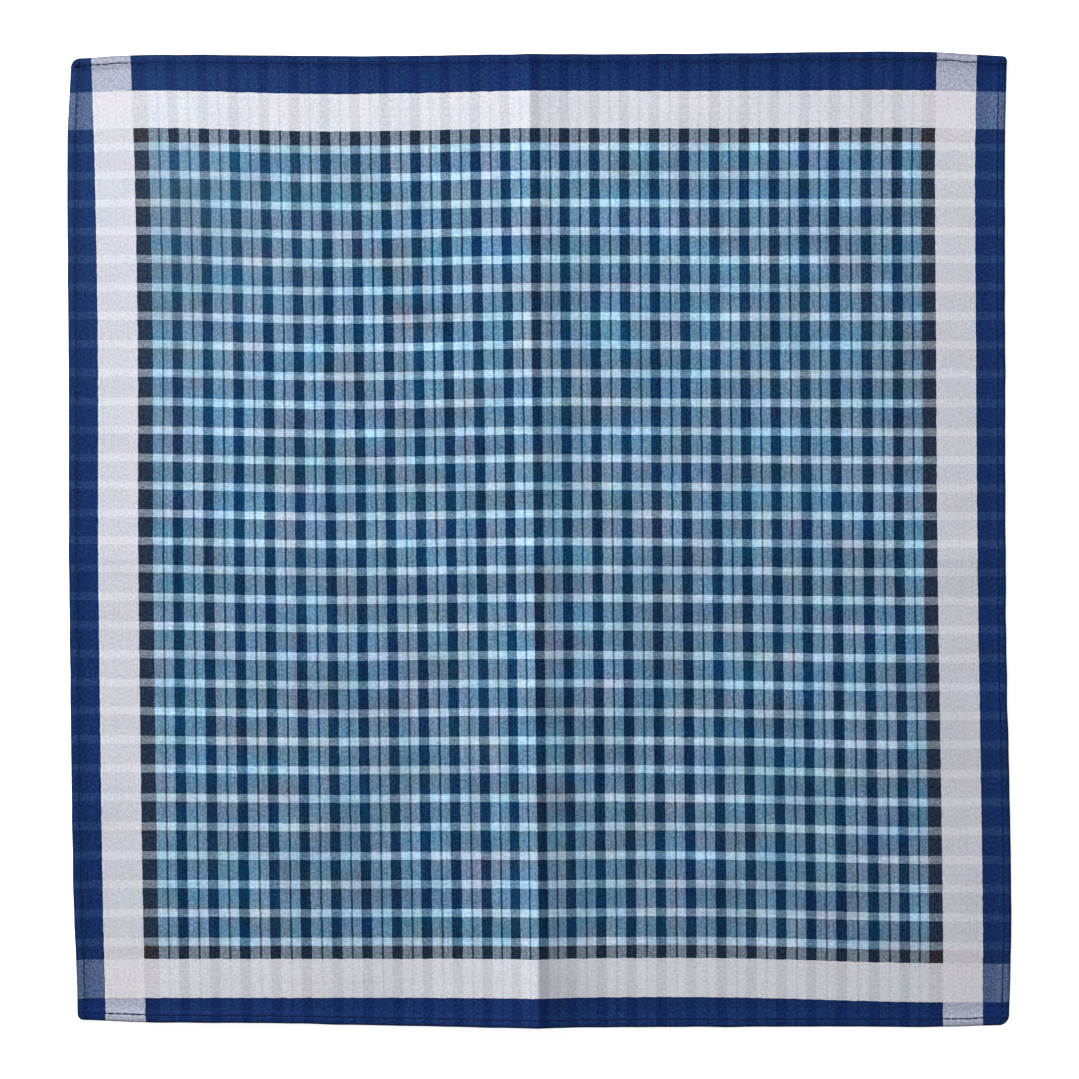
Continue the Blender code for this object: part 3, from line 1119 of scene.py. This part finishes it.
def hem_line():
    """Four runs on the face and four on the back, each from edge to edge, lying on the cloth."""
    far_x, far_y = CLOTH_WIDTH - STITCH_INSET, CLOTH_HEIGHT - STITCH_INSET
    along_x = np.linspace(LINE_ENDS, CLOTH_WIDTH - LINE_ENDS, round(CLOTH_WIDTH / LINE_STEP))
    along_y = np.linspace(LINE_ENDS, CLOTH_HEIGHT - LINE_ENDS, round(CLOTH_HEIGHT / LINE_STEP))
    runs = (
        (along_x, np.full_like(along_x, STITCH_INSET)),
        (np.full_like(along_y, far_x), along_y),
        (along_x[::-1], np.full_like(along_x, far_y)),
        (np.full_like(along_y, STITCH_INSET), along_y[::-1]),
    )
    points, edges, facing = [], [], []
    for layer, (across, up) in enumerate(runs, start=FIRST_LINE_LAYER):
        wander = LINE_WANDER * perlin((across + up) / LINE_WANDER_SPACING, 0 * up, layer)
        x, y, under, over = laid(across + wander, up + wander)
        for height, way in ((over, 1.0), (under, -1.0)):
            start = len(points)
            points += list(zip(x, y, height))
            edges += [(start + i, start + i + 1) for i in range(len(x) - 1)]
            facing += [way] * len(x)
    mesh = bpy.data.meshes.new("hem line")
    mesh.from_pydata(points, edges, [])
    mesh.attributes.new("facing", "FLOAT", "POINT").data.foreach_set("value", facing)
    return mesh


# %% Sew the hem
STITCH_PITCH = 0.0032
STITCH_LENGTH = 0.0028
THREAD_WIDTH = 0.00050
STITCH_HEIGHT = 0.00010
STITCH_SEED = 5


def sew():
    stitches = bpy.data.objects.new("hem_stitches", hem_line())
    bpy.context.scene.collection.objects.link(stitches)
    sewing = stitches.modifiers.new("stitches", "NODES")
    sewing.node_group = stitching
    settings = {
        "Pitch": STITCH_PITCH,
        "Length": STITCH_LENGTH,
        "Width": THREAD_WIDTH,
        "Height": STITCH_HEIGHT,
        "Seed": STITCH_SEED,
    }
    for item in stitching.interface.items_tree:
        if item.in_out == "INPUT" and item.name in settings:
            sewing[item.identifier] = settings[item.name]
    graph = bpy.context.evaluated_depsgraph_get()
    sewn = bpy.data.meshes.new_from_object(stitches.evaluated_get(graph))
    stitches.modifiers.remove(sewing)
    stitches.data = sewn
    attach(stitches, "root")
    return stitches


stitches = sew()
print("the hem's stitches have", len(stitches.data.polygons), "faces")

# %% [markdown]
# ## The table under it
# A plain pale surface, a hair below the cloth so that the two never share a plane, and not part
# of the handkerchief.

# %% A plain pale floor
# The floor also glows though it is no lamp: painted light that washes out the cloth's shadow on it
FLOOR_SIZE = 6.0
FLOOR_DROP = 0.0002
FLOOR_WHITE = (0.93, 0.93, 0.93, 1.0)
FLOOR_ROUGHNESS = 0.9
FLOOR_PAINTED_GLOW = 0.80


def make_floor():
    bpy.ops.mesh.primitive_plane_add(size=FLOOR_SIZE, location=(0.0, 0.0, -FLOOR_DROP))
    floor = bpy.context.object
    floor.name = "floor"
    material = bpy.data.materials.new("white floor with painted glow")
    material.use_nodes = True
    shader = material.node_tree.nodes["Principled BSDF"]
    shader.inputs["Base Color"].default_value = FLOOR_WHITE
    shader.inputs["Roughness"].default_value = FLOOR_ROUGHNESS
    # Painted glow: emission that fills the floor's shadow
    shader.inputs["Emission Color"].default_value = (1.0, 1.0, 1.0, 1.0)
    shader.inputs["Emission Strength"].default_value = FLOOR_PAINTED_GLOW
    floor.data.materials.append(material)
    return floor


floor = make_floor()

# %% [markdown]
# ## Light and camera
# The cloth was lit from the upper left by one soft lamp, which is why the crease's left side is
# bright, its right side dark, and the far corner dimmer. A pale world fills the shadows. It is
# brightest near the horizon, like the walls of a white room, so that a view from the side has a
# pale background too. The camera looks straight down from far enough away that the raised
# crease hardly shifts.

# %% Lamp, sky and camera
LAMP_PLACE = (-1.30, 1.55, 0.95)
LAMP_SIZE = 0.8
LAMP_POWER = 89.0
SKY_STRENGTH = 0.21
WALL_STRENGTH = 0.85
WALL_TOP, SKY_START = 0.15, 0.35
CAMERA_HEIGHT = 1.8
FRAME_WIDTH = 0.49634
SENSOR_WIDTH = 36.0


def make_world():
    """A white world whose strength falls with height, from its walls to its sky."""
    world = bpy.data.worlds.new("pale studio")
    world.use_nodes = True
    tree = world.node_tree
    direction = tree.nodes.new("ShaderNodeTexCoord").outputs["Generated"]
    _, _, height = parts_of(tree, direction)
    strength = tree.nodes.new("ShaderNodeMapRange")
    strength.interpolation_type = "SMOOTHSTEP"
    limits = {
        "From Min": WALL_TOP,
        "From Max": SKY_START,
        "To Min": WALL_STRENGTH,
        "To Max": SKY_STRENGTH,
    }
    for name, value in limits.items():
        strength.inputs[name].default_value = value
    tree.links.new(height, strength.inputs["Value"])
    background = tree.nodes["Background"]
    background.inputs["Color"].default_value = (1.0, 1.0, 1.0, 1.0)
    tree.links.new(strength.outputs["Result"], background.inputs["Strength"])
    bpy.context.scene.world = world


def make_light():
    lamp = bpy.data.lights.new("soft lamp", "AREA")
    lamp.shape = "DISK"
    lamp.size = LAMP_SIZE
    lamp.energy = LAMP_POWER
    holder = bpy.data.objects.new("soft lamp", lamp)
    holder.location = LAMP_PLACE
    holder.rotation_euler = (-Vector(LAMP_PLACE)).to_track_quat("-Z", "Y").to_euler()
    bpy.context.scene.collection.objects.link(holder)


def make_camera():
    lens = bpy.data.cameras.new("camera")
    lens.sensor_width = SENSOR_WIDTH
    lens.lens = SENSOR_WIDTH * CAMERA_HEIGHT / FRAME_WIDTH
    camera = bpy.data.objects.new("camera", lens)
    camera.location = (0.0, 0.0, CAMERA_HEIGHT)
    bpy.context.scene.collection.objects.link(camera)
    bpy.context.scene.camera = camera


make_world()
make_light()
make_camera()
bpy.context.scene.view_settings.view_transform = "Standard"
print("the camera sees", FRAME_WIDTH, "m across")
